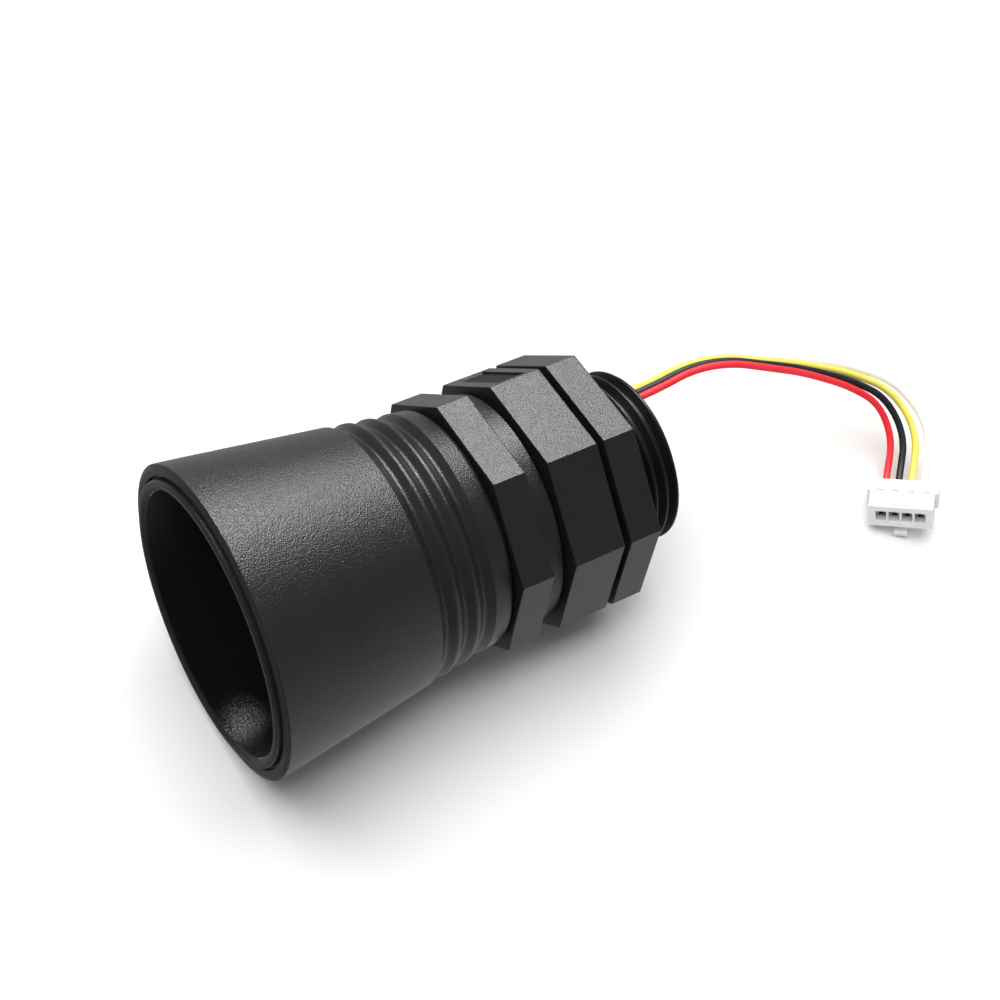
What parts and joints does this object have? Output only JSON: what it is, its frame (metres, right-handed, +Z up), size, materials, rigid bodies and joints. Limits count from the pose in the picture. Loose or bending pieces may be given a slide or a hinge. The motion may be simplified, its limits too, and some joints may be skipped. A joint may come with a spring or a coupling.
{
  "type": "ultrasonic level sensor",
  "caption": "Horn-shaped ultrasonic level sensor with an eight-sided housing, lock nut, pipe thread and a short wired plug.",
  "frame": {"origin": "on the ground, at the centre of the body's footprint; the wires and the plug are not counted", "axes": "+Z up; +X from the horn's mouth towards the threaded rear end; the body lies on its horn's rim and on one flat of the lock nut, so its own axis points 4.5 degrees below +X"},
  "size_m": [0.1542, 0.0629, 0.0568],
  "materials": {
    "body_black": "satin moulded, fine grain",
    "seal_rubber": "matt",
    "sleeve_foam": "matt",
    "damper_foam": "matt",
    "can_aluminium": "satin anodised",
    "piezo_ceramic": "fired, silvered",
    "board_green": "solder resist",
    "chip_black": "matt",
    "ferrite_grey": "sintered",
    "capacitor_can": "drawn",
    "crystal_steel": "plated",
    "lead_copper": "tinned",
    "potting_epoxy": "cast, glossy",
    "wire_red": "soft PVC",
    "wire_black": "soft PVC",
    "wire_yellow": "soft PVC",
    "wire_white": "soft PVC",
    "connector_nylon": "natural nylon",
    "contact_tin": "tinned"
  },
  "bodies": {
    "sensor": {"horn": "body_black", "housing": "body_black", "horn_seal": "seal_rubber", "transducer_sleeve": "sleeve_foam", "damping_pad": "damper_foam", "transducer_can": "can_aluminium", "piezo_disc": "piezo_ceramic", "circuit_board": "board_green", "controller_chip": "chip_black", "driver_chip": "chip_black", "voltage_regulator": "chip_black", "pulse_transformer": "ferrite_grey", "filter_capacitor": "capacitor_can", "clock_crystal": "crystal_steel", "transducer_lead_a": "lead_copper", "transducer_lead_b": "lead_copper", "potting_plug": "potting_epoxy", "wire_red": "wire_red", "wire_black": "wire_black", "wire_yellow": "wire_yellow", "wire_white": "wire_white", "connector_housing": "connector_nylon", "contact_1": "contact_tin", "contact_2": "contact_tin", "contact_3": "contact_tin", "contact_4": "contact_tin"},
    "gasket": {"nut_gasket": "seal_rubber"},
    "nut": {"lock_nut": "body_black"}
  },
  "joints": [
    {"name": "nut_slide", "type": "slide", "parent": "sensor", "child": "gasket", "axis": [0.997, 0, -0.0779], "range_m": [0, 0.01]},
    {"name": "nut_turn", "type": "hinge", "parent": "gasket", "child": "nut", "pos_m": [0.03042, 0, 0.02282], "axis": [0.997, 0, -0.0779], "range_deg": [0, 1559]}
  ],
  "couplings": [
    {"joint": "nut_slide", "follows": "nut_turn", "m_per_rad": 0.00036749}
  ]
}
